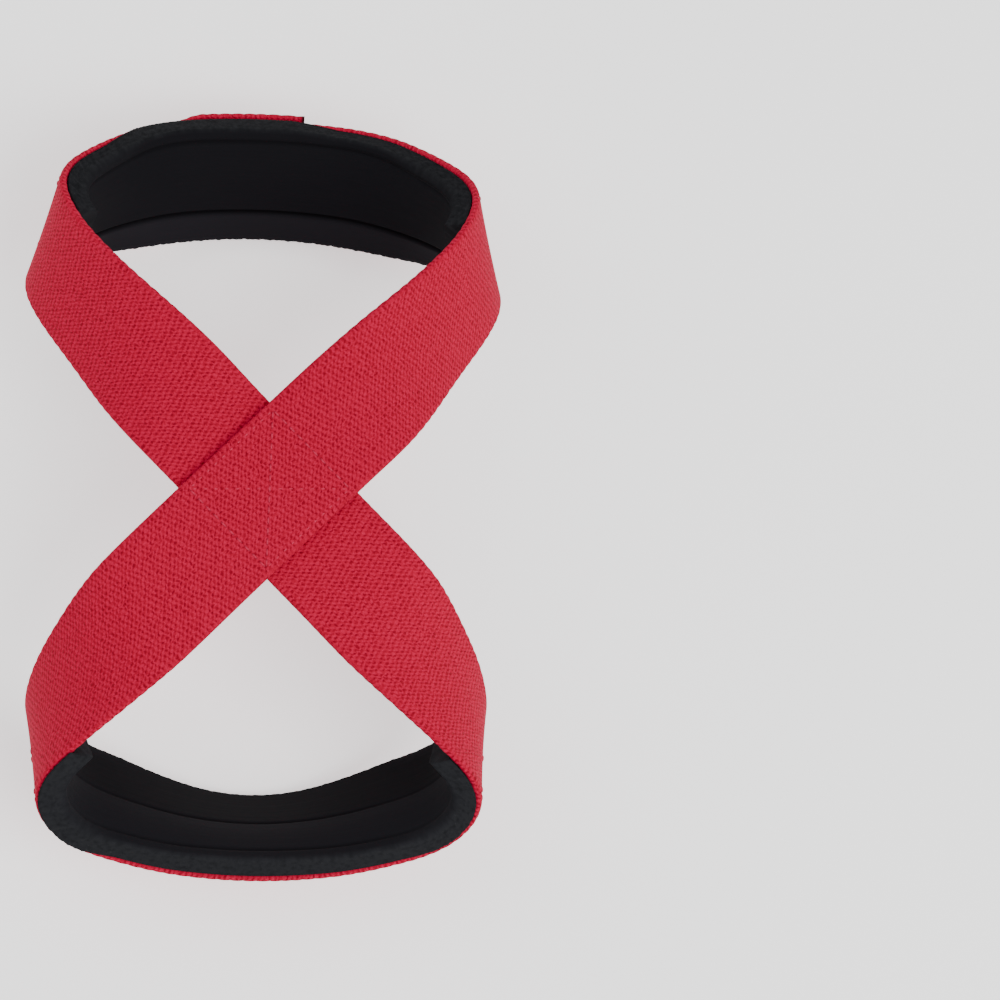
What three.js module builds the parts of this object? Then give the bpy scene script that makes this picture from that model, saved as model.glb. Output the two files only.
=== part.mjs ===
// Figure-eight lifting strap: one band of heavy webbing in a figure eight, with a foam pad in the back
// of each loop. It lies on a floor at z = 0 on the lower edges of its two backs, crossing uppermost.
// Millimetres, +Z up, +Y from the lower loop to the upper one, origin at the middle of the footprint.

import * as THREE from 'three';

// Webbing
const webbingWidth = 38;
const webbingThickness = 2.4;
const selvedgeRound = 0.8;
const selvedgeRoundLimit = 0.8;

// Lengths of webbing from the middle of the crossing to the middle of each loop's back
const upperQuarterLength = 200;
const lowerQuarterLength = 192;

// Crossing: each arm leaves it at this angle to +X, and the stitched square lies flat
const armAngle = 45;
const crossingMargin = 1;
const crossingHeight = 69.5;
const plyGap = 0.3;
const plyBlendLength = 40;

// Lap in the upper loop's back: the outer ply ends on the right, the inner ply on the left
const lapInnerReach = 18;
const lapOuterReach = 12;
const lapRampLength = 12;
const lapRampMargin = 1;

// Pads
const padWidth = 39;
const padThickness = 7;
const padCrown = 0.5;
const padLength = 195;
const padGap = 0.3;
const padNearEdgeThickness = 5.2;
const padFarEdgeThickness = 6.6;
const padEdgeRound = 1;
const upperNearBorder = 10;
const lowerNearBorder = 15;
const farBorder = 4;
const grooveDepth = 1.3;
const grooveWidth = 2.4;
const grooveEndFade = 28;

// How far the lowest edge of the webbing is pressed flat by its own weight
const floorPress = 0.5;

// Fineness of the model
const facetLength = 4;
const walkSteps = 400;
const tuningRounds = 12;
const tuningNudge = 1e-4;

// Form of a quarter of the strap. Rates in degrees per free length of webbing, which runs from the
// flat crossing (along 0) to the middle of the back (along 1). Bend closes the loop, twist turns the
// webbing about its own length.
const upperForm = [
  { along: 0.00, bend: 0, twist: 0, part: 'arm' },
  { along: 0.11, bend: 130, twist: 175, part: 'arm' },
  { along: 0.22, bend: 25, twist: 175, part: 'arm' },
  { along: 0.33, bend: 25, twist: 80, part: 'arm' },
  { along: 0.44, bend: 245, twist: 40, part: 'corner' },
  { along: 0.53, bend: 545, twist: 90, part: 'corner' },
  { along: 0.62, bend: 200, twist: 35, part: 'corner' },
  { along: 0.73, bend: 130, twist: 110, part: 'corner' },
  { along: 0.87, bend: 125, twist: -25, part: 'back' },
  { along: 1.00, bend: 115, twist: 0, part: 'back' },
];
const lowerForm = [
  { along: 0.00, bend: 0, twist: 0, part: 'arm' },
  { along: 0.11, bend: 135, twist: -15, part: 'arm' },
  { along: 0.22, bend: 100, twist: 210, part: 'arm' },
  { along: 0.33, bend: 30, twist: 150, part: 'arm' },
  { along: 0.44, bend: 145, twist: 145, part: 'corner' },
  { along: 0.53, bend: 620, twist: 110, part: 'corner' },
  { along: 0.62, bend: 345, twist: 70, part: 'corner' },
  { along: 0.73, bend: 40, twist: -50, part: 'corner' },
  { along: 0.87, bend: 105, twist: -60, part: 'back' },
  { along: 1.00, bend: 115, twist: 0, part: 'back' },
];

const flatLength = webbingWidth / 2 + crossingMargin;
const padHalf = padLength / 2;
const rampEnd = lapInnerReach + lapRampMargin;
const lapMarks = [-rampEnd - lapRampLength, -rampEnd, -lapInnerReach, lapOuterReach];

// Rate of bend or twist at a share of the free length, in radians per millimetre
function rateAt(form, column, share, tuning, freeLength) {
  let row = 0;
  while (row < form.length - 2 && form[row + 1].along < share) {
    row += 1;
  }
  const low = form[row];
  const high = form[row + 1];
  const lowRate = low[column] * tuning[low.part][column];
  const highRate = high[column] * tuning[high.part][column];
  const between = (share - low.along) / (high.along - low.along);
  const rate = THREE.MathUtils.lerp(lowRate, highRate, between);
  return THREE.MathUtils.degToRad(rate) / freeLength;
}

// Walks the upper right quarter from the crossing outwards. Each stop has the place of the webbing's
// middle, the way along it, the way across it towards its far edge, and the way out of its outer face.
function walkQuarter(form, length, tuning) {
  const angle = THREE.MathUtils.degToRad(armAngle);
  const along = new THREE.Vector3(Math.cos(angle), Math.sin(angle), 0);
  const across = new THREE.Vector3(-Math.sin(angle), Math.cos(angle), 0);
  const place = along.clone().multiplyScalar(flatLength);
  const stops = [];
  const freeLength = length - flatLength;
  const step = freeLength / walkSteps;
  for (let index = 0; index <= walkSteps; index += 1) {
    stops.push({
      place: place.clone(),
      along: along.clone(),
      across: across.clone(),
      out: new THREE.Vector3().crossVectors(along, across),
    });
    const share = (index + 0.5) / walkSteps;
    const bend = rateAt(form, 'bend', share, tuning, freeLength);
    const twist = rateAt(form, 'twist', share, tuning, freeLength);
    const turn = along.clone().multiplyScalar(twist).addScaledVector(across, bend);
    const angleTurned = turn.length() * step;
    turn.normalize();
    along.applyAxisAngle(turn, angleTurned / 2);
    place.addScaledVector(along, step);
    along.applyAxisAngle(turn, angleTurned / 2);
    across.applyAxisAngle(turn, angleTurned);
  }
  return stops;
}

// The lowest corner of the webbing at a stop
function lowestAt(stop) {
  return stop.place.z - stop.across.z * webbingWidth / 2 - Math.abs(stop.out.z) * webbingThickness / 2;
}

// How far a walked quarter misses its mirror image at the middle of the back, and the floor
function missOf(stops) {
  const last = stops[stops.length - 1];
  const aboveFloor = Math.min(...stops.map(lowestAt)) + crossingHeight + floorPress;
  const reach = last.place.length();
  return [last.place.x / reach, last.along.y, last.along.z, aboveFloor / reach];
}

function tuningOf(values) {
  return {
    arm: { bend: values[0], twist: values[1] },
    corner: { bend: values[2], twist: values[3] },
    back: { bend: 1, twist: 1 },
  };
}

// Solves as many equations as the right side has numbers, by elimination
function solveLinear(matrix, right) {
  const size = right.length;
  const rows = matrix.map((row, index) => [...row, right[index]]);
  for (let column = 0; column < size; column += 1) {
    let best = column;
    for (let row = column + 1; row < size; row += 1) {
      if (Math.abs(rows[row][column]) > Math.abs(rows[best][column])) {
        best = row;
      }
    }
    [rows[column], rows[best]] = [rows[best], rows[column]];
    for (let row = 0; row < size; row += 1) {
      if (row !== column) {
        const factor = rows[row][column] / rows[column][column];
        rows[row] = rows[row].map((value, index) => value - factor * rows[column][index]);
      }
    }
  }
  return rows.map((row, index) => row[size] / row[index]);
}

// Tunes the form until the quarter meets its mirror image at the back and its lowest edge the floor
function settleQuarter(form, length) {
  const values = [1, 1, 1, 1];
  for (let round = 0; round < tuningRounds; round += 1) {
    const miss = missOf(walkQuarter(form, length, tuningOf(values)));
    const columns = values.map((value, index) => {
      const moved = values.slice();
      moved[index] = value + tuningNudge;
      const movedMiss = missOf(walkQuarter(form, length, tuningOf(moved)));
      return movedMiss.map((entry, row) => (entry - miss[row]) / tuningNudge);
    });
    const matrix = miss.map((_, row) => columns.map((column) => column[row]));
    const change = solveLinear(matrix, miss);
    for (let index = 0; index < values.length; index += 1) {
      values[index] -= change[index];
    }
  }
  return walkQuarter(form, length, tuningOf(values));
}

const ringHalf = upperQuarterLength + lowerQuarterLength;
const ringLength = 2 * ringHalf;
const upperStops = settleQuarter(upperForm, upperQuarterLength);
const lowerStops = settleQuarter(lowerForm, lowerQuarterLength);

// Place, way across and way out at a distance from the crossing along a quarter
function quarterSpot(stops, length, distance) {
  const share = (distance - flatLength) / (length - flatLength);
  const position = THREE.MathUtils.clamp(share, 0, 1) * walkSteps;
  const low = Math.min(Math.floor(position), walkSteps - 1);
  const between = position - low;
  const place = stops[low].place.clone().lerp(stops[low + 1].place, between);
  const across = stops[low].across.clone().lerp(stops[low + 1].across, between).normalize();
  const out = stops[low].out.clone().lerp(stops[low + 1].out, between).normalize();
  if (distance < flatLength) {
    place.addScaledVector(stops[0].along, distance - flatLength);
  }
  return { place, across, out };
}

// A spot on the ring of webbing. Distance starts at the middle of the upper back and runs to the right,
// down the top arm to the lower left, round the lower back, and up the arm beneath to the upper left.
function ringSpot(distance) {
  const along = THREE.MathUtils.euclideanModulo(distance, ringLength);
  const quarters = [
    { end: upperQuarterLength, side: 1, loop: 1, from: upperQuarterLength - along },
    { end: ringHalf, side: -1, loop: -1, from: along - upperQuarterLength },
    { end: ringHalf + lowerQuarterLength, side: 1, loop: -1, from: ringHalf + lowerQuarterLength - along },
    { end: ringLength, side: -1, loop: 1, from: along - ringHalf - lowerQuarterLength },
  ];
  const quarter = quarters.find((entry) => along <= entry.end);
  const upper = quarter.loop > 0;
  const stops = upper ? upperStops : lowerStops;
  const length = upper ? upperQuarterLength : lowerQuarterLength;
  const spot = quarterSpot(stops, length, quarter.from);
  const mirror = new THREE.Vector3(quarter.side, quarter.loop, 1);
  spot.place.multiply(mirror);
  spot.out.multiply(mirror);
  spot.across.multiply(mirror).multiplyScalar(quarter.loop);
  spot.fromCrossing = quarter.from;
  spot.onTop = quarter.side * quarter.loop > 0;
  return spot;
}

// How far the webbing lies outside the plain ring, at the crossing and in the lap
function plyRise(distance, spot) {
  const ply = webbingThickness + plyGap;
  const blend = THREE.MathUtils.smoothstep(spot.fromCrossing, flatLength, flatLength + plyBlendLength);
  const crossingRise = (1 - blend) * ply / 2 * (spot.onTop ? 1 : -1);
  const toLap = ringLength - distance;
  const ramp = THREE.MathUtils.smoothstep(toLap, rampEnd, rampEnd + lapRampLength);
  return crossingRise + (1 - ramp) * ply;
}

// Even steps from start to end, with a stop at each of the marks between them
function stepsBetween(start, end, marks) {
  const inside = marks.filter((mark) => mark > start && mark < end);
  const stops = [start, ...inside.sort((low, high) => low - high), end];
  const distances = [start];
  for (let index = 1; index < stops.length; index += 1) {
    const from = stops[index - 1];
    const stretch = stops[index] - from;
    const count = Math.max(1, Math.round(stretch / facetLength));
    for (let step = 1; step <= count; step += 1) {
      distances.push(from + stretch * step / count);
    }
  }
  return distances;
}

// A closed body from rings of points, each ring with its points in the same order. Every facet is split
// from its ring's larger x to the next ring's smaller x, so that the layers on each other stay parallel.
function skin(rings, outline) {
  const count = outline.length;
  const points = rings.flat();
  const faces = [];
  for (let ring = 0; ring < rings.length - 1; ring += 1) {
    for (let index = 0; index < count; index += 1) {
      const next = (index + 1) % count;
      const here = ring * count + index;
      const beside = ring * count + next;
      if (outline[next].x >= outline[index].x) {
        faces.push(here + count, beside + count, beside);
        faces.push(here + count, beside, here);
      } else {
        faces.push(here + count, beside + count, here);
        faces.push(beside + count, beside, here);
      }
    }
  }
  const lastRing = (rings.length - 1) * count;
  for (const [first, second, third] of THREE.ShapeUtils.triangulateShape(outline, [])) {
    faces.push(first, second, third);
    faces.push(lastRing + first, lastRing + third, lastRing + second);
  }
  const geometry = new THREE.BufferGeometry().setFromPoints(points);
  geometry.setIndex(faces);
  geometry.computeVertexNormals();
  return geometry;
}

function pointOn(spot, across, out) {
  return spot.place.clone().addScaledVector(spot.across, across).addScaledVector(spot.out, out);
}

// Section of the webbing: across it and out of its outer face
function webbingOutline() {
  const side = webbingWidth / 2;
  const face = webbingThickness / 2;
  const round = Math.min(selvedgeRound, face * selvedgeRoundLimit);
  return [
    new THREE.Vector2(-side, -face + round),
    new THREE.Vector2(-side + round, -face),
    new THREE.Vector2(side - round, -face),
    new THREE.Vector2(side, -face + round),
    new THREE.Vector2(side, face - round),
    new THREE.Vector2(side - round, face),
    new THREE.Vector2(-side + round, face),
    new THREE.Vector2(-side, face - round),
  ];
}

function webbingGeometry() {
  const outline = webbingOutline();
  const marks = [
    lapOuterReach,
    padHalf,
    upperQuarterLength - flatLength,
    upperQuarterLength + flatLength,
    ringHalf - padHalf,
    ringHalf + padHalf,
    ringHalf + lowerQuarterLength - flatLength,
    ringHalf + lowerQuarterLength + flatLength,
    ringLength - padHalf,
    ...lapMarks.map((mark) => ringLength + mark),
  ];
  const distances = stepsBetween(-lapInnerReach, ringLength + lapOuterReach, marks);
  const rings = distances.map((distance) => {
    const spot = ringSpot(distance);
    const rise = plyRise(distance, spot);
    return outline.map(({ x, y }) => {
      const point = pointOn(spot, x, y + rise);
      point.z = Math.max(point.z, -crossingHeight);
      return point;
    });
  });
  return skin(rings, outline);
}

// Section of a pad: across it and out from the ring, with its grooves at a share of their full depth
function padOutline(nearBorder, grooveShare) {
  const side = padWidth / 2;
  const round = Math.min(padEdgeRound, (farBorder - grooveWidth / 2) / 2);
  const nearGroove = -side + nearBorder;
  const farGroove = side - farBorder;
  const grooveHalf = grooveWidth / 2;
  const grooveFloor = padThickness - grooveDepth * grooveShare;
  const face = [
    [-side, 0],
    [-side, padNearEdgeThickness - round],
    [-side + round, padNearEdgeThickness],
    [nearGroove - grooveHalf, padThickness],
    [nearGroove, grooveFloor],
    [nearGroove + grooveHalf, padThickness],
    [(nearGroove + farGroove) / 2, padThickness + padCrown],
    [farGroove - grooveHalf, padThickness],
    [farGroove, grooveFloor],
    [farGroove + grooveHalf, padThickness],
    [side - round, padFarEdgeThickness],
    [side, padFarEdgeThickness - round],
    [side, 0],
  ];
  const back = webbingThickness / 2 + padGap;
  return face.map(([across, depth]) => new THREE.Vector2(across, -back - depth));
}

// A pad along the inner face of the webbing, about the middle of a loop's back. The webbing's edges
// swap sides at the crossing, so its way across points to the lower loop's near edge: farSign is -1.
function padGeometry(backMiddle, farSign, nearBorder, marks) {
  const rings = stepsBetween(-padHalf, padHalf, marks).map((fromMiddle) => {
    const spot = ringSpot(backMiddle + farSign * fromMiddle);
    const toEnd = padHalf - Math.abs(fromMiddle);
    const outline = padOutline(nearBorder, THREE.MathUtils.smoothstep(toEnd, 0, grooveEndFade));
    return outline.map(({ x, y }) => pointOn(spot, x * farSign, y));
  });
  return skin(rings, padOutline(nearBorder, 0));
}

function namedMesh(name, geometry, look) {
  const mesh = new THREE.Mesh(geometry, new THREE.MeshStandardMaterial(look));
  mesh.name = name;
  return mesh;
}

const webbingLook = { color: 0xc3283f, roughness: 0.85, metalness: 0 };
const padLook = { color: 0x19191b, roughness: 0.9, metalness: 0 };

const strap = new THREE.Group();
strap.add(namedMesh('webbing', webbingGeometry(), webbingLook));
strap.add(namedMesh('upper_pad', padGeometry(0, 1, upperNearBorder, lapMarks), padLook));
strap.add(namedMesh('lower_pad', padGeometry(ringHalf, -1, lowerNearBorder, []), padLook));

// The floor is at z = 0, under the middle of the footprint
const extent = new THREE.Box3().setFromObject(strap);
strap.position.set(0, -(extent.min.y + extent.max.y) / 2, crossingHeight);

const model = new THREE.Group();
model.add(strap);

export default model;
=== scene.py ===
"""Figure-eight lifting strap: crimson webbing with a black foam pad in the back of each loop.

The webbing and pads are made here in fine rings along the same walked strip as the solids.
Lengths are in millimetres until the meshes are made.
"""

import math

import bpy
import numpy as np
from mathutils import Matrix, Vector


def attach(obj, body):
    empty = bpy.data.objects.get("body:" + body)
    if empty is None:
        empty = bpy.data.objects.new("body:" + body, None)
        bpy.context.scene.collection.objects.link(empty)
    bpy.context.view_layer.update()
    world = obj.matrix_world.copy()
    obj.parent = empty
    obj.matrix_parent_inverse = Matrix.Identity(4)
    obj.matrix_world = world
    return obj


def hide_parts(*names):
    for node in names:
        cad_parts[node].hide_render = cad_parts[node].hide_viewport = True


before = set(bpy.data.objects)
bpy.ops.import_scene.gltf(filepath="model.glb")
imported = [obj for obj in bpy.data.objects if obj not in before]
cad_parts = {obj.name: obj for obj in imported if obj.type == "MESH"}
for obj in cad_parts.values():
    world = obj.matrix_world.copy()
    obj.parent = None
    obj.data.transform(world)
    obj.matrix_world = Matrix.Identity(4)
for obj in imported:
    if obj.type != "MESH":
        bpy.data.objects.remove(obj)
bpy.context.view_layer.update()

MM = 0.001

# Webbing
WEBBING_WIDTH = 38.0
WEBBING_THICKNESS = 2.4
RINGS = 1720
OUTER_STATIONS = 15
INNER_STATIONS = 11
SEALED_FULL = 0.3
SEALED_FADE = 1.4

# Selvedge: a rounded edge with a row of knuckles towards each face, one row half a turn further on
SELVEDGE_ROUND = 1.0
SELVEDGE_TURNS = np.radians([60, 30, 0, -30, -60])
SELVEDGE_PITCH = 3.86
SELVEDGE_RELIEF = 0.24
SELVEDGE_UV = 0.8
KNUCKLE_BLUNTNESS = 0.7
KNUCKLE_TURN = 0.7
KNUCKLE_LEVEL = 0.55
KNUCKLE_SWELL = 0.35
PITCH_WANDER = 0.3
PITCH_WANDER_LENGTH = 20
PITCH_SEED = 1

# The strip from the middle of the crossing to the middle of each loop's back
UPPER_QUARTER = 200.0
LOWER_QUARTER = 192.0
ARM_ANGLE = math.radians(45)
CROSSING_MARGIN = 1.0
CROSSING_HEIGHT = 69.5
PLY_GAP = 0.3
PLY_BLEND = 40.0
FLOOR_PRESS = 0.5

# Place of the crossing beside the middle of the solids' box, negative towards the lower loop
CROSSING_Y = -6.655

# Lap in the upper loop's back, with the outer ply sewn down a little askew
LAP_INNER_REACH = 18.0
LAP_OUTER_REACH = 12.0
LAP_RAMP = 12.0
LAP_RAMP_MARGIN = 1.0
LAP_ASKEW = 1.3
LAP_ASKEW_LENGTH = 12.0

# Pads
PAD_WIDTH = 39.0
PAD_THICKNESS = 7.0
PAD_CROWN = 0.5
PAD_LENGTH = 195.0
PAD_GAP = 0.3
PAD_NEAR_EDGE = 5.2
PAD_FAR_EDGE = 6.6
PAD_EDGE_ROUND = 1.3
PAD_CORNER_ROUND = 2.4
UPPER_NEAR_BORDER = 11.0
LOWER_NEAR_BORDER = 20.0
FAR_BORDER = 4.0
UPPER_GROOVE_DEPTH = 0.9
LOWER_GROOVE_DEPTH = 0.35
FAR_GROOVE_DEPTH = 0.5
GROOVE_WIDTH = 2.0
UPPER_GROOVE_FADE = 36.0
LOWER_GROOVE_FADE = 75.0
SEAM_END = 14.0

# Points of a pad: rings along it, and rows across its face, down its far wall, along its back, and
# up its near wall, where a wall's place is a share of the depth
PAD_RINGS = 390
FACE_ROWS = 74
FAR_WALL_ROWS = 11
BACK_ROWS = 6
NEAR_WALL_ROWS = 9
WALL_TOP = 0.96
WALL_FOOT = 0.02
ROUNDED_TURNS = np.radians([15, 35, 55, 75])
UPRIGHT = math.radians(90)

# Stretch of a pad that lies in the loop's corner, by the distance from the pad's middle: where it
# begins and where it ends
CORNER_START = (44, 60)
CORNER_END = (86, 97)

# Unevenness of a pad's walls: depth, stretch along, slant down the wall, step of the seed, length
WALL_GRAIN = (0.10, 1.3, 9, 0, 1.1)
WALL_FINE_GRAIN = (0.10, 1.0, -6, 3, 0.5)
CORNER_CRUMPLE = (0.32, 1.0, 4, 5, 2.6)
WALL_INSET = 0.12

# Slow wave of a pad's near edge and stretch marks along its face: depth, step of the seed, length
NEAR_EDGE_WAVE = (0.22, 7, 2.0)
NEAR_EDGE_REACH = 3.0
STRETCH_MARKS = (0.02, 11, 1.7)

# Marks of a pad for its material, with painted shade in its near and far creases
CORNER_CUT = 0.5
CORNER_CUT_REACH = 7.0
NEAR_CREASE_PAINTED_SHADE = 0.85
NEAR_CREASE_HALF = 0.8
FAR_CREASE_PAINTED_SHADE = 0.4
FAR_CREASE_HALF = 1.2
BAND_BLEND = 2.0

# A pad's far side against the webbing's edge: place along the pad, how far the wall spreads or,
# below zero, the far half stands back, and how far the wall's lip reaches over the edge
UPPER_LIP = [
    (-97.5, -0.4, 0.0),
    (-58.0, -0.4, 0.0),
    (-44.0, 0.3, 1.8),
    (9.0, 0.3, 1.8),
    (24.0, -1.1, 0.2),
    (97.5, -1.4, 0.0),
]
LOWER_LIP = [
    (-97.5, 0.3, 1.0),
    (-60.0, 0.3, 1.0),
    (-46.0, 0.0, 0.0),
    (44.0, 0.0, 0.0),
    (56.0, 0.3, 2.2),
    (97.5, 0.3, 2.2),
]

# The lip's underside comes back in rows told by a share of the depth just below zero
LIP_STEPS = (-0.01, -0.02, -0.03)
LIP_FIRST = 0.85
LIP_FALL = 28
LIP_SHARPNESS = 3

# How light a pad's face, near band and cut sides look, from 0 to 1: painted light and shade, set
# apart for each pad for how the light falls on it
UPPER_PAINTED_LIGHT = (0.32, 0.69, 0.55)
LOWER_PAINTED_LIGHT = (0.48, 0.2, 0.9)
UPPER_SEED = 1
LOWER_SEED = 4

# Stitches
STITCH_PITCH = 3.2
STITCH_LENGTH = 2.7
STITCH_INSET = 2.5
BOX_INSET = 1.6
STITCH_STOPS = 6
STITCH_ARCH = 1.15
THREAD_RADIUS = 0.34
THREAD_SIDES = 6
THREAD_END_SHARE = 0.6
FAINT_SINK = 0.29

# Walk along a quarter and its tuning: bend and twist of the arm, bend and twist of the corner
WALK_STEPS = 400
TUNED = 4
TUNING_ROUNDS = 8
TUNING_NUDGE = 1e-4

# Sines that make up a slow variation: rate, step of the seed and phase
WANDER_WAVES = [(2.1, 1.7, 0.0), (3.7, 0.6, 1.0), (6.3, 2.9, 2.0)]

# Form of a quarter of the strap: share of the free length, bend and twist in degrees per free
# length, and the part whose tuning the row follows
UPPER_FORM = [
    (0.00, 0, 0, "arm"),
    (0.11, 130, 175, "arm"),
    (0.22, 25, 175, "arm"),
    (0.33, 25, 80, "arm"),
    (0.44, 245, 40, "corner"),
    (0.53, 545, 90, "corner"),
    (0.62, 200, 35, "corner"),
    (0.73, 130, 110, "corner"),
    (0.87, 125, -25, "back"),
    (1.00, 115, 0, "back"),
]
LOWER_FORM = [
    (0.00, 0, 0, "arm"),
    (0.11, 135, -15, "arm"),
    (0.22, 100, 210, "arm"),
    (0.33, 30, 150, "arm"),
    (0.44, 145, 145, "corner"),
    (0.53, 620, 110, "corner"),
    (0.62, 345, 70, "corner"),
    (0.73, 40, -50, "corner"),
    (0.87, 105, -60, "back"),
    (1.00, 115, 0, "back"),
]
PART_COLUMN = {"arm": 0, "corner": 2, "back": 4}

FLAT = WEBBING_WIDTH / 2 + CROSSING_MARGIN
RING_HALF = UPPER_QUARTER + LOWER_QUARTER
RING = 2 * RING_HALF
PAD_HALF = PAD_LENGTH / 2
FACE = WEBBING_THICKNESS / 2


def smooth(low, high, value):
    """0 at low and 1 at high, with a smooth rise or fall between them."""
    share = np.clip((value - low) / (high - low), 0, 1)
    return share * share * (3 - 2 * share)


def turned(vector, axis, angle):
    """A vector turned about an axis of length 1."""
    cosine = math.cos(angle)
    return (
        vector * cosine
        + np.cross(axis, vector) * math.sin(angle)
        + axis * np.dot(axis, vector) * (1 - cosine)
    )


def walk(form, length, tuning):
    """Stops along a quarter: place, way along, way across and way out of the outer face."""
    free = length - FLAT
    step = free / WALK_STEPS
    share = (np.arange(WALK_STEPS) + 0.5) / WALK_STEPS
    scale = [*tuning, 1, 1]
    rows = [row[0] for row in form]
    bend = [row[1] * scale[PART_COLUMN[row[3]]] for row in form]
    twist = [row[2] * scale[PART_COLUMN[row[3]] + 1] for row in form]
    bend = np.radians(np.interp(share, rows, bend)) / free
    twist = np.radians(np.interp(share, rows, twist)) / free
    along = np.array([math.cos(ARM_ANGLE), math.sin(ARM_ANGLE), 0.0])
    across = np.array([-math.sin(ARM_ANGLE), math.cos(ARM_ANGLE), 0.0])
    place = along * FLAT
    stops = np.zeros((WALK_STEPS + 1, 4, 3))
    for index in range(WALK_STEPS + 1):
        stops[index] = place, along, across, np.cross(along, across)
        if index < WALK_STEPS:
            turn = twist[index] * along + bend[index] * across
            speed = np.linalg.norm(turn)
            axis = turn / speed
            place = place + turned(along, axis, speed * step / 2) * step
            along = turned(along, axis, speed * step)
            across = turned(across, axis, speed * step)
    return stops


def miss_of(stops):
    """How far a quarter misses its mirror image at the middle of the back, and the floor."""
    place, along = stops[-1, 0], stops[-1, 1]
    lowest = (
        stops[:, 0, 2]
        - stops[:, 2, 2] * WEBBING_WIDTH / 2
        - np.abs(stops[:, 3, 2]) * WEBBING_THICKNESS / 2
    ).min()
    reach = np.linalg.norm(place)
    above = lowest + CROSSING_HEIGHT + FLOOR_PRESS
    return np.array([place[0] / reach, along[1], along[2], above / reach])


def settle(form, length):
    """Tunes the form until the quarter meets its mirror image and its lowest edge the floor."""
    values = np.ones(TUNED)
    for _ in range(TUNING_ROUNDS):
        miss = miss_of(walk(form, length, values))
        columns = []
        for unit in np.eye(TUNED):
            nudged = walk(form, length, values + TUNING_NUDGE * unit)
            columns.append((miss_of(nudged) - miss) / TUNING_NUDGE)
        values = values - np.linalg.solve(np.array(columns).T, miss)
    return walk(form, length, values)


UPPER_STOPS = settle(UPPER_FORM, UPPER_QUARTER)
LOWER_STOPS = settle(LOWER_FORM, LOWER_QUARTER)


def quarter_spots(stops, length, distance):
    """Place, way across and way out at distances from the crossing along a walked quarter."""
    position = np.clip((distance - FLAT) / (length - FLAT), 0, 1) * WALK_STEPS
    low = np.minimum(position.astype(int), WALK_STEPS - 1)
    between = (position - low)[:, None, None]
    spots = stops[low] * (1 - between) + stops[low + 1] * between
    place, across, out = spots[:, 0], spots[:, 2], spots[:, 3]
    place = place + stops[0, 1] * np.minimum(distance - FLAT, 0)[:, None]
    across /= np.linalg.norm(across, axis=1)[:, None]
    out /= np.linalg.norm(out, axis=1)[:, None]
    return place, across, out


def ring_spots(distances):
    """Place, way across, way out and rise of the webbing at distances along the ring."""
    distances = np.asarray(distances, dtype=float)
    along = np.mod(distances, RING)
    place, across, out = (np.zeros((len(along), 3)) for _ in range(3))
    rise = np.zeros(len(along))
    # Start and end along the ring, side, loop and distance from the crossing
    quarters = [
        (0, UPPER_QUARTER, 1, 1, UPPER_QUARTER - along),
        (UPPER_QUARTER, RING_HALF, -1, -1, along - UPPER_QUARTER),
        (RING_HALF, RING_HALF + LOWER_QUARTER, 1, -1, RING_HALF + LOWER_QUARTER - along),
        (RING_HALF + LOWER_QUARTER, RING, -1, 1, along - RING_HALF - LOWER_QUARTER),
    ]
    ply = WEBBING_THICKNESS + PLY_GAP
    for start, end, side, loop, origin in quarters:
        mine = (along >= start) & (along < end)
        stops, length = (UPPER_STOPS, UPPER_QUARTER) if loop > 0 else (LOWER_STOPS, LOWER_QUARTER)
        spots = quarter_spots(stops, length, origin[mine])
        mirror = np.array([side, loop, 1.0])
        place[mine] = spots[0] * mirror
        across[mine] = spots[1] * mirror * loop
        out[mine] = spots[2] * mirror
        level = ply / 2 * (1 if side * loop > 0 else -1)
        rise[mine] = level * (1 - smooth(FLAT, FLAT + PLY_BLEND, origin[mine]))
    ramp_end = LAP_INNER_REACH + LAP_RAMP_MARGIN
    rise += ply * (1 - smooth(ramp_end, ramp_end + LAP_RAMP, RING - distances))
    askew = LAP_ASKEW * (1 - smooth(ramp_end, ramp_end + LAP_ASKEW_LENGTH, RING - distances))
    return place + across * askew[:, None], across, out, rise


def wander(values, seed, scale):
    """Slow smooth variation between -1 and 1 along one direction."""
    turn = np.asarray(values) / scale
    waves = [np.sin(rate * turn + step * seed + phase) for rate, step, phase in WANDER_WAVES]
    return sum(waves) / len(waves)


def set_out(place, across, out, at, height):
    """Rings of points at distances across and out of the strip, one ring for each place along it."""
    return (
        place[:, None, :]
        + across[:, None, :] * at[:, :, None]
        + out[:, None, :] * height[:, :, None]
    )


def above_floor(points):
    """Flattens what would reach under the floor, which is the crossing's height below it."""
    points[..., 2] = np.maximum(points[..., 2], -CROSSING_HEIGHT)
    return points


def add_piece(name, points, faces):
    """A smooth mesh object from points in the strip's own millimetres."""
    rested = points.reshape(-1, 3) + np.array([0, CROSSING_Y, CROSSING_HEIGHT])
    mesh = bpy.data.meshes.new(name)
    mesh.from_pydata((rested * MM).tolist(), [], faces)
    mesh.polygons.foreach_set("use_smooth", np.ones(len(mesh.polygons), dtype=bool))
    mesh.update()
    piece = bpy.data.objects.new(name, mesh)
    bpy.context.scene.collection.objects.link(piece)
    return piece


def tube_faces(rings, count, base=0):
    """Faces of a closed skin over rings of points, with a cap at each end."""
    ring, index = np.meshgrid(np.arange(rings - 1), np.arange(count), indexing="ij")
    here = base + ring * count + index
    beside = base + ring * count + (index + 1) % count
    quads = np.stack([here, here + count, beside + count, beside], axis=-1).reshape(-1, 4)
    last = base + rings * count - 1
    caps = [list(range(base, base + count)), list(range(last, last - count, -1))]
    return quads.tolist() + caps


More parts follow.
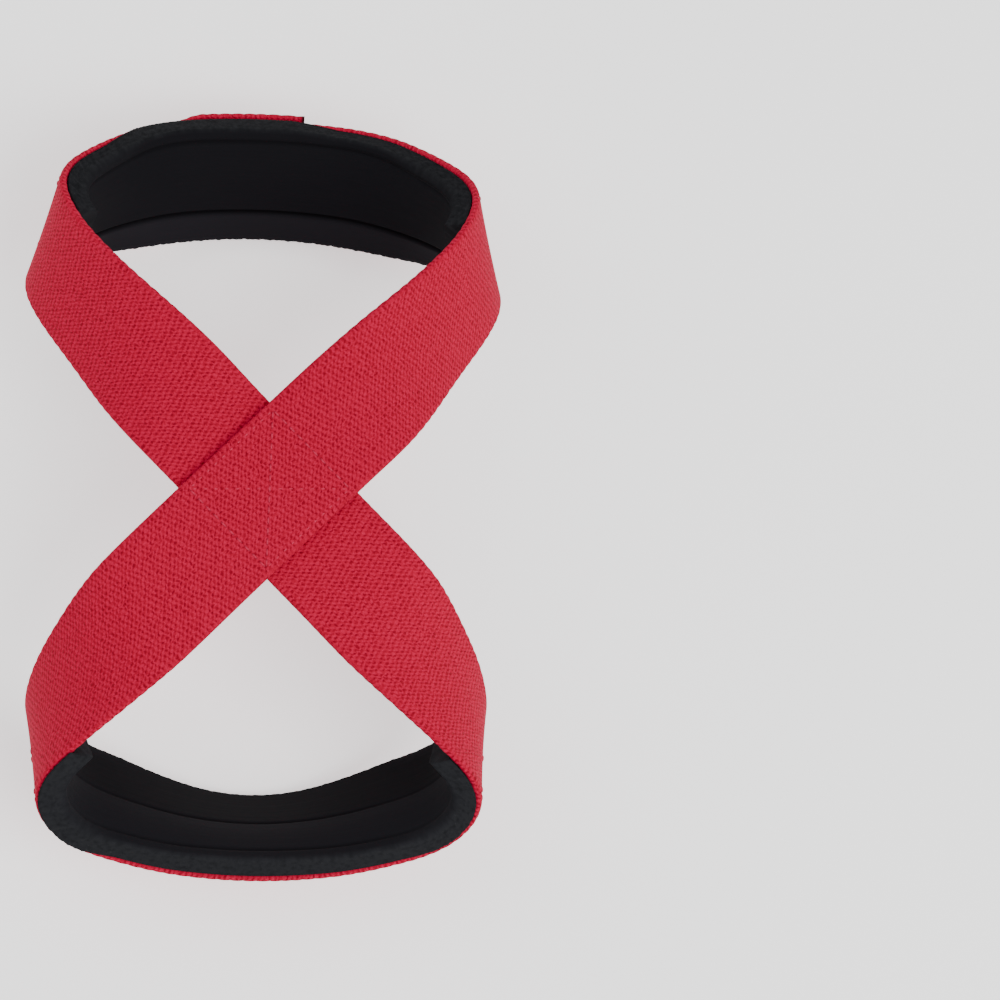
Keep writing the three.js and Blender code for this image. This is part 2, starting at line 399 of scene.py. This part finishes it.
def grid_piece(name, points, uvs, marks):
    """A closed skin over rings of points, with a UV in millimetres and a named mark on each point."""
    piece = add_piece(name, points, tube_faces(*points.shape[:2]))
    mesh = piece.data
    layer = mesh.uv_layers.new(name="cloth")
    corners = np.zeros(len(mesh.loops), dtype=np.int32)
    mesh.loops.foreach_get("vertex_index", corners)
    layer.data.foreach_set("uv", uvs.reshape(-1, 2)[corners].ravel())
    for mark, values in marks.items():
        attribute = mesh.attributes.new(mark, "FLOAT", "POINT")
        attribute.data.foreach_set("value", values.reshape(-1))
    return piece


# Webbing
def selvedge_rows(side):
    """Rows of the webbing's section round its edge on one side of it, 1 or -1."""
    rows = []
    for angle in SELVEDGE_TURNS * side:
        reach = WEBBING_WIDTH / 2 - SELVEDGE_ROUND * (1 - math.cos(angle))
        rows.append((side * reach, FACE * math.sin(angle), 1.0, angle))
    return rows


def webbing_section():
    """Round the webbing from its outer face: across, out, mark of a selvedge, and angle round it,
    which counts only on a selvedge."""
    flat = WEBBING_WIDTH / 2 - SELVEDGE_ROUND
    outer_face = [(across, FACE, 0.0, 1.0) for across in np.linspace(-flat, flat, OUTER_STATIONS)]
    inner_face = [(across, -FACE, 0.0, -1.0) for across in np.linspace(flat, -flat, INNER_STATIONS)]
    return np.array(outer_face + selvedge_rows(1) + inner_face + selvedge_rows(-1))


def knuckle(turn):
    """A rounded knuckle with a sharp valley to its neighbours, once per turn."""
    return np.abs(np.cos(np.pi * turn)) ** KNUCKLE_BLUNTNESS


def webbing_points(distances, section):
    """Rings of points round the webbing, with its knuckled selvedges."""
    place, across, out, rise = ring_spots(distances)
    at, height, edge, angle = section.T
    turn = distances / SELVEDGE_PITCH
    turn = turn + PITCH_WANDER * wander(distances, PITCH_SEED, PITCH_WANDER_LENGTH)
    upper = knuckle(turn)[:, None] * np.clip(np.cos(angle - KNUCKLE_TURN), 0, 1) ** 2
    lower = knuckle(turn + 0.5)[:, None] * np.clip(np.cos(angle + KNUCKLE_TURN), 0, 1) ** 2
    bump = edge * (np.maximum(upper, lower) - KNUCKLE_LEVEL) * SELVEDGE_RELIEF
    at = at[None, :] + bump * np.sign(at)
    height = height[None, :] * (1 + KNUCKLE_SWELL * bump) + rise[:, None]
    return above_floor(set_out(place, across, out, at, height))


def make_webbing():
    """The whole band from its inner end to its outer one, both marked as sealed by melting."""
    section = webbing_section()
    distances = np.linspace(-LAP_INNER_REACH, RING + LAP_OUTER_REACH, RINGS)
    at, _, edge, angle = section.T
    uvs = np.zeros((RINGS, len(section), 2))
    uvs[..., 0] = distances[:, None]
    uvs[..., 1] = at + SELVEDGE_UV * edge * np.sin(angle) * -np.sign(at)
    to_end = np.minimum(distances + LAP_INNER_REACH, RING + LAP_OUTER_REACH - distances)
    sealed = (1 - smooth(SEALED_FULL, SEALED_FADE, to_end))[:, None] * np.ones(len(section))
    points = webbing_points(distances, section)
    return grid_piece("strap_webbing", points, uvs, {"sealed": sealed})


# Pads
def pad_depth(across, near_border, near_drop, groove):
    """Depth of a pad's face at a place across it, with its grooves at a share of their depth."""
    side = PAD_WIDTH / 2
    near = -side + near_border
    far = side - FAR_BORDER
    half = GROOVE_WIDTH / 2
    depth = np.interp(
        across,
        [-side, near - half, near + half, far - half, far + half, side],
        [PAD_NEAR_EDGE, PAD_THICKNESS, PAD_THICKNESS, PAD_THICKNESS, PAD_THICKNESS, PAD_FAR_EDGE],
    )
    middle = (near + far) / 2
    reach = (far - near) / 2 - half
    depth = depth + PAD_CROWN * np.clip(1 - ((across - middle) / reach) ** 2, 0, 1)
    for centre, drop in ((near, near_drop), (far, FAR_GROOVE_DEPTH)):
        depth = depth - drop * groove * (1 - smooth(0, half, np.abs(across - centre)))
    return depth


def pad_section():
    """Round a pad from its face: share of the flat width, turn of the rounded edge, share of the
    depth, and mark of a cut side."""
    rows = [(span, 0.0, 1.0, 0.0) for span in np.linspace(-1, 1, FACE_ROWS)]
    rows += [(1, turn, 1.0, turn / UPRIGHT) for turn in ROUNDED_TURNS]
    rows += [(1, UPRIGHT, share, 1.0) for share in np.linspace(WALL_TOP, WALL_FOOT, FAR_WALL_ROWS)]
    rows += [(1, UPRIGHT, share, 1.0) for share in LIP_STEPS]
    rows += [(span, 0.0, 0.0, 1.0) for span in np.linspace(1, -1, BACK_ROWS)]
    rows += [(-1, UPRIGHT, share, 1.0) for share in np.linspace(WALL_FOOT, WALL_TOP, NEAR_WALL_ROWS)]
    rows += [(-1, turn, 1.0, turn / UPRIGHT) for turn in ROUNDED_TURNS[::-1]]
    return np.array(rows)


def wave(row, values, seed):
    """A slow wave from a row of depth, step of the seed and length."""
    depth, step, length = row
    return depth * wander(values, seed + step, length)


def wall_wave(row, along, share, seed):
    """A wave that runs along a pad's wall and slants down it."""
    depth, stretch, slant, step, length = row
    return wave((depth, step, length), along[:, None] * stretch + slant * share, seed)


def pad_marks(at, share, cut, corner, groove, near_border, painted_light_tones):
    """Marks for a pad's material: how cut, how much painted shade darkens a crease, and how light,
    which is painted light and shade.
    """
    side = PAD_WIDTH / 2
    crumpled = CORNER_CUT * corner * smooth(side - CORNER_CUT_REACH, side, np.abs(at))
    cut_mark = np.maximum(cut, crumpled)
    cut_mark[[0, -1], :] = 1
    near = np.abs(at + side - near_border)
    far = np.abs(at - side + FAR_BORDER)
    crease = np.maximum(
        NEAR_CREASE_PAINTED_SHADE * (1 - smooth(0, NEAR_CREASE_HALF, near)),
        FAR_CREASE_PAINTED_SHADE * (1 - smooth(0, FAR_CREASE_HALF, far)),
    )
    # Painted shade in the near and far creases
    painted_crease_shade = groove * crease * np.clip(share, 0, 1)
    # Painted light and shade: each pad's face, near band and cut sides get their own lightness
    face_tone, band_tone, wall_tone = painted_light_tones
    band_end = -side + near_border
    tone = band_tone + (face_tone - band_tone) * smooth(band_end - BAND_BLEND, band_end, at)
    tone = tone + (wall_tone - tone) * cut_mark
    return {"cut": cut_mark, "groove": painted_crease_shade, "tone": tone}


def make_pad(name, back_middle, far_sign, near_border, near_drop, fade, lip_rows, painted_light_tones, seed):
    """A foam pad on the inner face of a loop's back, with its near edge by the floor and its far
    edge up. far_sign turns its own directions, along and across, into the ring's."""
    span, turn, share, cut = pad_section().T
    side = PAD_WIDTH / 2
    along = np.linspace(-PAD_HALF, PAD_HALF, PAD_RINGS)
    reach = np.abs(along)
    place, across, out, _ = ring_spots(back_middle + far_sign * along)
    # Softer and more crumpled at the loop's corners
    corner = (smooth(*CORNER_START, reach) * (1 - smooth(*CORNER_END, reach)))[:, None]
    rounding = PAD_EDGE_ROUND + (PAD_CORNER_ROUND - PAD_EDGE_ROUND) * corner
    at = span * (side - rounding) + np.sign(span) * rounding * np.sin(turn)
    groove = smooth(0, fade, PAD_HALF - reach)[:, None]
    depth = pad_depth(at, near_border, near_drop, groove) - rounding * (1 - np.cos(turn))
    depth = depth * np.clip(share, 0, 1)
    wall = (turn == UPRIGHT) & (share > 0)
    rough = wall_wave(WALL_GRAIN, along, share, seed) + wall_wave(WALL_FINE_GRAIN, along, share, seed)
    rough = rough + corner * wall_wave(CORNER_CRUMPLE, along, share, seed)
    at = at + np.where(wall, rough - WALL_INSET, 0.0) * np.sign(span)
    near_wave = wave(NEAR_EDGE_WAVE, along, seed)[:, None]
    at = at + smooth(-side + NEAR_EDGE_REACH, -side, at) * near_wave
    # Shallow stretch marks along the face
    depth = depth + np.where(share == 1.0, wave(STRETCH_MARKS, at[0], seed), 0.0)
    # The lip of the far wall over the webbing's edge
    places, spreads, lips = np.array(lip_rows).T
    spread = np.interp(along, places, spreads)[:, None]
    lip = np.interp(along, places, lips)[:, None]
    far_wall = wall & (span > 0)
    at = at + np.where(far_wall, np.maximum(spread, 0) * (1 - share**2), 0.0)
    at = at + np.minimum(spread, 0) * smooth(side / 2, side, at)
    raised = np.where(far_wall, lip * (1 - np.clip(share, 0, 1)) ** LIP_SHARPNESS, 0.0)
    underside = lip * (LIP_FIRST + LIP_FALL * (share - LIP_STEPS[0]))
    raised = raised + np.where(share < 0, underside, 0.0)
    inward = FACE + PAD_GAP + depth - raised
    points = set_out(place, across, out, at * far_sign, -inward)
    down_wall = at + (1 - share) * PAD_THICKNESS * np.sign(span)
    uvs = np.stack([along[:, None] + 0 * at, down_wall], axis=-1)
    marks = pad_marks(at, share, cut, corner, groove, near_border, painted_light_tones)
    if far_sign < 0:
        # Counted the same way along the ring as on the other pad
        points = points[::-1, ::-1]
        uvs = uvs[::-1, ::-1]
        marks = {mark: values[::-1, ::-1] for mark, values in marks.items()}
    return grid_piece(name, points, uvs, marks)


# Stitches
def stitch_ends(lines):
    """First and last spot of each stitch on sewn lines between two (distance, across) spots."""
    first, last = [], []
    cover = STITCH_LENGTH / STITCH_PITCH
    for line in lines:
        start, end = np.array(line, dtype=float)
        count = max(1, round(np.linalg.norm(end - start) / STITCH_PITCH))
        index = np.arange(count)[:, None]
        first.append(start + (end - start) * (index + (1 - cover) / 2) / count)
        last.append(start + (end - start) * (index + (1 + cover) / 2) / count)
    return np.concatenate(first), np.concatenate(last)


def stitch_points(lines, side, sink=0.0):
    """Rings of points round each stitch, on the outer (1) or inner (-1) face of the webbing."""
    first, last = stitch_ends(lines)
    share = np.linspace(0, 1, STITCH_STOPS)
    arch = np.sqrt(np.sin(np.pi * share).clip(0))
    spots = first[:, None] + (last - first)[:, None] * share[:, None]
    place, across, out, rise = ring_spots(spots[..., 0].ravel())
    height = side * (FACE + THREAD_RADIUS * (STITCH_ARCH * arch - 1.0) - sink)
    lift = rise + np.tile(height, len(first))
    centre = place + across * spots[..., 1].reshape(-1, 1) + out * lift[:, None]
    centre = centre.reshape(-1, STITCH_STOPS, 3)
    out = out.reshape(-1, STITCH_STOPS, 3)
    way = np.gradient(centre, axis=1)
    way /= np.linalg.norm(way, axis=-1)[..., None]
    beside = np.cross(out, way)
    angle = 2 * np.pi * np.arange(THREAD_SIDES)[:, None] / THREAD_SIDES
    round_it = np.cos(angle) * beside[:, :, None] + np.sin(angle) * out[:, :, None]
    thickness = THREAD_END_SHARE + (1 - THREAD_END_SHARE) * arch
    radius = THREAD_RADIUS * thickness[:, None, None]
    return above_floor(centre[:, :, None] + radius * round_it)


def stitch_piece(name, *groups):
    """One mesh of many stitches, with a mark that grows where a stitch dips into the webbing, for the
    thread's painted shade there.
    """
    points = np.concatenate(groups)
    faces = []
    for stitch in range(len(points)):
        faces += tube_faces(STITCH_STOPS, THREAD_SIDES, stitch * STITCH_STOPS * THREAD_SIDES)
    piece = add_piece(name, points, faces)
    dip = 1 - np.sin(np.pi * np.linspace(0, 1, STITCH_STOPS))
    attribute = piece.data.attributes.new("dip", "FLOAT", "POINT")
    attribute.data.foreach_set("value", np.tile(np.repeat(dip, THREAD_SIDES), len(points)))
    return piece


def box(low, high, half):
    """The four sides of a stitched box in turn: along, across, along, across."""
    corners = [(low, -half), (high, -half), (high, half), (low, half)]
    return [(corners[index], corners[(index + 1) % 4]) for index in range(4)]


def cross(low, high, half):
    """The two diagonals of a stitched box."""
    return [((low, -half), (high, half)), ((high, -half), (low, half))]


def seams(back_middle, far_sign, near_border, start, end):
    """The two sewn lines of a pad between two places along it, in lengths of one stitch."""
    lines = []
    stops = np.linspace(start, end, 1 + round((end - start) / STITCH_PITCH))
    for across in (-PAD_WIDTH / 2 + near_border, PAD_WIDTH / 2 - FAR_BORDER):
        at = across * far_sign
        for low, high in zip(stops, stops[1:]):
            lines.append(((back_middle + low, at), (back_middle + high, at)))
    return lines


# Materials
class Nodes:
    """Short calls for building a material's nodes."""

    def __init__(self, name):
        self.material = bpy.data.materials.new(name)
        self.material.use_nodes = True
        self.tree = self.material.node_tree
        self.tree.nodes.clear()

    def add(self, kind, **settings):
        node = self.tree.nodes.new(kind)
        for key, value in settings.items():
            setattr(node, key, value)
        return node

    def link(self, output, socket):
        self.tree.links.new(output, socket)

    def math(self, operation, first, second=0.0, third=None, clamp=False):
        node = self.add("ShaderNodeMath", operation=operation, use_clamp=clamp)
        for index, value in enumerate([first, second, third]):
            if value is None:
                continue
            if isinstance(value, (int, float)):
                node.inputs[index].default_value = value
            else:
                self.link(value, node.inputs[index])
        return node.outputs[0]

    def noise(self, vector, scale, detail=2.0, roughness=0.5):
        node = self.add("ShaderNodeTexNoise")
        self.link(vector, node.inputs["Vector"])
        node.inputs["Scale"].default_value = scale
        node.inputs["Detail"].default_value = detail
        node.inputs["Roughness"].default_value = roughness
        return node.outputs["Fac"]

    def stretched(self, vector, scale):
        node = self.add("ShaderNodeMapping")
        self.link(vector, node.inputs["Vector"])
        node.inputs["Scale"].default_value = scale
        return node.outputs["Vector"]

    def mix(self, share, first, second):
        node = self.add("ShaderNodeMix", data_type="RGBA")
        if isinstance(share, (int, float)):
            node.inputs["Factor"].default_value = share
        else:
            self.link(share, node.inputs["Factor"])
        for socket, value in ((node.inputs[6], first), (node.inputs[7], second)):
            if isinstance(value, tuple):
                socket.default_value = (*value, 1)
            else:
                self.link(value, socket)
        return node.outputs[2]

    def ramp(self, value, stops):
        node = self.add("ShaderNodeValToRGB")
        self.link(value, node.inputs["Fac"])
        elements = node.color_ramp.elements
        while len(elements) < len(stops):
            elements.new(0.5)
        for element, (position, color) in zip(elements, stops):
            element.position = position
            element.color = (*color, 1)
        return node.outputs["Color"]

    def mark(self, name):
        return self.add("ShaderNodeAttribute", attribute_name=name).outputs["Fac"]

    def bump(self, height, distance, strength):
        node = self.add("ShaderNodeBump")
        node.inputs["Strength"].default_value = strength
        node.inputs["Distance"].default_value = distance * MM
        self.link(height, node.inputs["Height"])
        return node.outputs["Normal"]

    def finish(self, color, normal, roughness, **constants):
        shader = self.add("ShaderNodeBsdfPrincipled")
        output = self.add("ShaderNodeOutputMaterial")
        self.link(color, shader.inputs["Base Color"])
        if normal is not None:
            self.link(normal, shader.inputs["Normal"])
        if isinstance(roughness, float):
            shader.inputs["Roughness"].default_value = roughness
        else:
            self.link(roughness, shader.inputs["Roughness"])
        for key, value in constants.items():
            shader.inputs[key.replace("_", " ")].default_value = value
        self.link(shader.outputs["BSDF"], output.inputs["Surface"])
        return self.material


# Woven webbing: floats lie in columns, each column half a float further on, lengths in millimetres
FLOAT_LENGTH = 1.7
FLOAT_WIDTH = 1.25
FLOAT_SLANT = 0.35

# How floats and columns wander: scale of the noise, reach
FLOAT_WANDER = [(0.33, 1.6), (0.9, 1.7)]
COLUMN_WANDER = [(0.21, 1.4), (0.7, 1.1)]

# Pits between the floats, some open and some nearly closed, and fibres over all
PIT_SHARPNESS = 2.6
PIT_NOISE_SCALE = 0.75
PIT_NOISE_GAIN = 2.4
PIT_NOISE_START = -0.7
CREST_SHARE = 0.25
FIBRE_STRETCH = (1.0, 1.7, 1)
FIBRE_SCALE = 1.5
FIBRE_RELIEF = 0.8
FIBRE_TONE = 1.4
TONE_START = 0.02
WORN_SCALE = 0.05
WORN_SHARE = 0.15
# Painted shade in the pits and a painted highlight on the crests, about the floats' own red
PIT_PAINTED_SHADE_RED = (0.25, 0.0007, 0.010)
FLOAT_RED = (0.43, 0.0020, 0.027)
CREST_PAINTED_HIGHLIGHT_RED = (0.57, 0.007, 0.052)
WORN_RED = (0.56, 0.009, 0.05)
SEALED_BLACK = (0.02, 0.002, 0.004)
SHEEN_PINK = (0.9, 0.2, 0.35, 1)


def wandered(nodes, uv, coordinate, rows):
    """A coordinate of the weave moved about by noise."""
    for scale, reach in rows:
        coordinate = nodes.math("MULTIPLY_ADD", nodes.noise(uv, scale), reach, coordinate)
    return coordinate


def webbing_material():
    nodes = Nodes("woven_webbing")
    uv = nodes.add("ShaderNodeUVMap", uv_map="cloth").outputs["UV"]
    split = nodes.add("ShaderNodeSeparateXYZ")
    nodes.link(uv, split.inputs[0])
    along = wandered(nodes, uv, split.outputs["X"], FLOAT_WANDER)
    across = wandered(nodes, uv, split.outputs["Y"], COLUMN_WANDER)
    slanted = nodes.math("MULTIPLY_ADD", across, FLOAT_SLANT, along)
    floats = nodes.math("COSINE", nodes.math("MULTIPLY", slanted, 2 * math.pi / FLOAT_LENGTH))
    columns = nodes.math("COSINE", nodes.math("MULTIPLY", across, math.pi / FLOAT_WIDTH))
    weave = nodes.math("MULTIPLY", floats, columns)
    # Mostly level, with a sharp pit between one float and the next
    sunk = nodes.math("MULTIPLY_ADD", weave, -0.5, 0.5, clamp=True)
    pit = nodes.math("POWER", sunk, PIT_SHARPNESS)
    uneven = nodes.noise(uv, PIT_NOISE_SCALE, detail=3.0)
    open_share = nodes.math("MULTIPLY_ADD", uneven, PIT_NOISE_GAIN, PIT_NOISE_START, clamp=True)
    pit = nodes.math("MULTIPLY", pit, open_share)
    fibre = nodes.noise(nodes.stretched(uv, FIBRE_STRETCH), FIBRE_SCALE, detail=3.0)
    crest = nodes.math("SUBTRACT", nodes.math("MULTIPLY", weave, CREST_SHARE), pit)
    height = nodes.math("MULTIPLY_ADD", fibre, FIBRE_RELIEF, crest)
    # Colour follows the fibres' grain, with painted shade in the pits and a painted highlight on the
    # crests
    tone = nodes.math("MULTIPLY_ADD", fibre, FIBRE_TONE, nodes.math("ADD", crest, TONE_START))
    color = nodes.ramp(tone, [(0.0, PIT_PAINTED_SHADE_RED), (0.6, FLOAT_RED), (1.0, CREST_PAINTED_HIGHLIGHT_RED)])
    worn_share = nodes.math("MULTIPLY", nodes.noise(uv, WORN_SCALE), WORN_SHARE)
    worn = nodes.mix(worn_share, color, WORN_RED)
    color = nodes.mix(nodes.mark("sealed"), worn, SEALED_BLACK)
    return nodes.finish(
        color,
        nodes.bump(height, distance=0.4, strength=0.65),
        0.85,
        Sheen_Weight=0.04,
        Sheen_Roughness=0.4,
        Sheen_Tint=SHEEN_PINK,
        Specular_IOR_Level=0.1,
    )


# Sewing thread, with painted shade where it dips into the webbing
THREAD_FIBRE_SCALE = 2500
THREAD_DARK = (0.50, 0.010, 0.045)
THREAD_LIGHT = (0.66, 0.032, 0.095)
THREAD_DIP_PAINTED_SHADE = (0.12, 0.0005, 0.005)


def thread_material():
    nodes = Nodes("sewing_thread")
    place = nodes.add("ShaderNodeTexCoord").outputs["Object"]
    fibre = nodes.noise(place, THREAD_FIBRE_SCALE)
    color = nodes.ramp(fibre, [(0.3, THREAD_DARK), (0.7, THREAD_LIGHT)])
    # Painted shade where the thread dips into the webbing
    color = nodes.mix(nodes.mark("dip"), color, THREAD_DIP_PAINTED_SHADE)
    normal = nodes.bump(fibre, distance=0.1, strength=0.4)
    return nodes.finish(color, normal, 0.65, Specular_IOR_Level=0.15)


# Foam rubber: a smooth face with faint stretch marks, cut sides with pores, lumps and specks, and
# painted light and shade for each pad and in its creases
PORE_SCALE = 2.4
LUMP_SCALE = 0.5
LUMP_GAIN = 1.6
LUMP_START = -0.5
MARK_STRETCH = (0.05, 1.6, 1)
MARK_SCALE = 1.0
MARK_TONE = 0.1
MARK_RELIEF = 0.12
SPECK_SCALE = 1.1
SPECK_START = 0.74
SPECK_SHARE = 0.4
SIDE_TONE = 0.7
FACE_ROUGHNESS = 0.72
SIDE_ROUGHNESS_STEP = 0.15
FACE_DARK = (0.0015, 0.0016, 0.0022)
FACE_LIGHT = (0.0160, 0.0160, 0.0200)
SIDE_DARK = (0.0040, 0.0042, 0.0050)
SIDE_LIGHT = (0.0185, 0.0190, 0.0215)
# Painted shade in the creases
CREASE_PAINTED_SHADE = (0.0009, 0.0009, 0.0012)
SPECK_GREY = (0.07, 0.07, 0.072)


def pad_material():
    nodes = Nodes("foam_rubber")
    uv = nodes.add("ShaderNodeUVMap", uv_map="cloth").outputs["UV"]
    cut = nodes.mark("cut")
    tone = nodes.mark("tone")
    pores = nodes.noise(uv, PORE_SCALE, detail=4.0, roughness=0.65)
    lumps = nodes.noise(uv, LUMP_SCALE, detail=3.0)
    stretch = nodes.noise(nodes.stretched(uv, MARK_STRETCH), MARK_SCALE)
    # The tone mark, used for the face and the sides, carries each pad's painted light and shade
    marked = nodes.math("MULTIPLY_ADD", stretch, MARK_TONE, tone)
    face = nodes.mix(marked, FACE_DARK, FACE_LIGHT)
    patches = nodes.math("MULTIPLY_ADD", lumps, LUMP_GAIN, LUMP_START)
    blotched = nodes.math("MULTIPLY_ADD", tone, SIDE_TONE, patches, clamp=True)
    side = nodes.mix(blotched, SIDE_DARK, SIDE_LIGHT)
    color = nodes.mix(cut, face, side)
    # Painted shade in the creases
    color = nodes.mix(nodes.mark("groove"), color, CREASE_PAINTED_SHADE)
    grains = nodes.math("GREATER_THAN", nodes.noise(uv, SPECK_SCALE), SPECK_START)
    speck = nodes.math("MULTIPLY", grains, cut)
    color = nodes.mix(nodes.math("MULTIPLY", speck, SPECK_SHARE), color, SPECK_GREY)
    rough_relief = nodes.math("MULTIPLY", nodes.math("ADD", pores, lumps), cut)
    relief = nodes.math("MULTIPLY_ADD", stretch, MARK_RELIEF, rough_relief)
    roughness = nodes.math("MULTIPLY_ADD", cut, SIDE_ROUGHNESS_STEP, FACE_ROUGHNESS)
    normal = nodes.bump(relief, distance=0.4, strength=0.5)
    return nodes.finish(color, normal, roughness, Specular_IOR_Level=0.04)


# Pale floor with a glow of its own, so that shadows stay soft
FLOOR_NOISE_SCALE = 3.0
FLOOR_DARK = (0.86, 0.86, 0.86)
FLOOR_LIGHT = (0.88, 0.88, 0.88)


def floor_material():
    nodes = Nodes("pale_floor")
    place = nodes.add("ShaderNodeTexCoord").outputs["Object"]
    color = nodes.ramp(nodes.noise(place, FLOOR_NOISE_SCALE), [(0.3, FLOOR_DARK), (0.7, FLOOR_LIGHT)])
    return nodes.finish(
        color,
        None,
        0.9,
        Specular_IOR_Level=0.1,
        Emission_Color=(1, 1, 1, 1),
        Emission_Strength=0.9,
    )


# Pieces
webbing = make_webbing()
upper_pad = make_pad(
    "padded_upper_back",
    back_middle=0.0,
    far_sign=1,
    near_border=UPPER_NEAR_BORDER,
    near_drop=UPPER_GROOVE_DEPTH,
    fade=UPPER_GROOVE_FADE,
    lip_rows=UPPER_LIP,
    painted_light_tones=UPPER_PAINTED_LIGHT,
    seed=UPPER_SEED,
)
lower_pad = make_pad(
    "padded_lower_back",
    back_middle=RING_HALF,
    far_sign=-1,
    near_border=LOWER_NEAR_BORDER,
    near_drop=LOWER_GROOVE_DEPTH,
    fade=LOWER_GROOVE_FADE,
    lip_rows=LOWER_LIP,
    painted_light_tones=LOWER_PAINTED_LIGHT,
    seed=LOWER_SEED,
)

# Stitches of the crossing: on top, the ends of the box and one diagonal show, the rest sinks in
reach = WEBBING_WIDTH / 2 - STITCH_INSET
box_reach = WEBBING_WIDTH / 2 - BOX_INSET
crossing_top = (UPPER_QUARTER - box_reach, UPPER_QUARTER + box_reach, reach)
sides = box(*crossing_top)
diagonals = cross(*crossing_top)
clear = stitch_points([sides[1], sides[3], diagonals[1]], 1)
faint = stitch_points([sides[0], sides[2], diagonals[0]], 1, FAINT_SINK)
top_stitches = stitch_piece("crossing_stitches_top", clear, faint)
under_middle = RING_HALF + LOWER_QUARTER
crossing_under = (under_middle - box_reach, under_middle + box_reach, reach)
under_lines = box(*crossing_under) + cross(*crossing_under)
under_stitches = stitch_piece("crossing_stitches_under", stitch_points(under_lines, -1))

# Stitches of the lap, and those that hold the pads
lap = (RING - LAP_INNER_REACH + STITCH_INSET, RING + LAP_OUTER_REACH - STITCH_INSET, reach)
lap_stitches = stitch_piece("lap_stitches", stitch_points(box(*lap) + cross(*lap), 1))
seam_reach = PAD_HALF - SEAM_END
lap_left = LAP_INNER_REACH + LAP_RAMP_MARGIN + LAP_RAMP + STITCH_INSET
lap_right = LAP_OUTER_REACH + STITCH_INSET
upper_seams = (
    seams(RING, 1, UPPER_NEAR_BORDER, -seam_reach, -lap_left)
    + seams(0, 1, UPPER_NEAR_BORDER, lap_right, seam_reach)
)
upper_back_stitches = stitch_piece("upper_back_stitches", stitch_points(upper_seams, 1))
lower_seams = seams(RING_HALF, -1, LOWER_NEAR_BORDER, -seam_reach, seam_reach)
lower_back_stitches = stitch_piece("lower_back_stitches", stitch_points(lower_seams, 1))

thread = thread_material()
foam = pad_material()
finishes = [
    (webbing, webbing_material(), "webbing"),
    (upper_pad, foam, "upper_pad"),
    (lower_pad, foam, "lower_pad"),
    (top_stitches, thread, "webbing"),
    (under_stitches, thread, "webbing"),
    (lap_stitches, thread, "webbing"),
    (upper_back_stitches, thread, "webbing"),
    (lower_back_stitches, thread, "webbing"),
]
for piece, material, slot in finishes:
    piece.data.materials.append(material)
    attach(piece, "root")
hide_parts("webbing")
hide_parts("upper_pad")
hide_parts("lower_pad")

# Floor
FLOOR_HALF = 3.0
floor_mesh = bpy.data.meshes.new("floor")
corner_signs = [(-1, -1), (1, -1), (1, 1), (-1, 1)]
floor_corners = [(FLOOR_HALF * x, FLOOR_HALF * y, 0) for x, y in corner_signs]
floor_mesh.from_pydata(floor_corners, [], [(0, 1, 2, 3)])
floor = bpy.data.objects.new("floor", floor_mesh)
bpy.context.scene.collection.objects.link(floor)
floor_mesh.materials.append(floor_material())

# Soft studio lights: name, place and size in metres, power in watts
LIGHTS = [
    ("key_light", (0.6, -0.5, 1.2), 0.9, 15),
    ("fill_light", (-0.8, 0.6, 1.0), 1.2, 4),
]
WORLD_STRENGTH = 0.7

for name, place, size, power in LIGHTS:
    light = bpy.data.lights.new(name, "AREA")
    light.shape = "SQUARE"
    light.size = size
    light.energy = power
    lamp = bpy.data.objects.new(name, light)
    lamp.location = place
    lamp.rotation_euler = (-Vector(place)).to_track_quat("-Z", "Y").to_euler()
    bpy.context.scene.collection.objects.link(lamp)

world = bpy.data.worlds.new("studio")
world.use_nodes = True
background = world.node_tree.nodes["Background"]
background.inputs["Color"].default_value = (1, 1, 1, 1)
background.inputs["Strength"].default_value = WORLD_STRENGTH
bpy.context.scene.world = world

# Camera: seen from above and a little from the lower left, with the strap left of the frame's middle
CAMERA_TILT = math.radians(9.14)
CAMERA_PAN = math.radians(-7.31)
CAMERA_ROLL = math.radians(0.3)
CAMERA_DISTANCE = 1083.0
PIXELS_PER_MM = 3.3413
CROSSING_PIXEL = (269.1, 490.1)
FRAME_PIXELS = 1000
SENSOR_WIDTH = 36

back = np.array([
    math.sin(CAMERA_PAN) * math.cos(CAMERA_TILT),
    -math.sin(CAMERA_TILT),
    math.cos(CAMERA_PAN) * math.cos(CAMERA_TILT),
])
level = np.cross([0, 1, 0], back)
level /= np.linalg.norm(level)
right = turned(level, back, CAMERA_ROLL)
up = np.cross(back, right)
aside = (CROSSING_PIXEL[0] - FRAME_PIXELS / 2) / PIXELS_PER_MM
above = (FRAME_PIXELS / 2 - CROSSING_PIXEL[1]) / PIXELS_PER_MM
eye = np.array([0, CROSSING_Y, CROSSING_HEIGHT]) + back * CAMERA_DISTANCE - right * aside - up * above
camera_data = bpy.data.cameras.new("camera")
camera_data.sensor_width = SENSOR_WIDTH
camera_data.lens = SENSOR_WIDTH * PIXELS_PER_MM * CAMERA_DISTANCE / FRAME_PIXELS
camera = bpy.data.objects.new("camera", camera_data)
bpy.context.scene.collection.objects.link(camera)
axes = Matrix((right, up, back)).transposed().to_4x4()
camera.matrix_world = Matrix.Translation(Vector(eye * MM)) @ axes
bpy.context.scene.camera = camera
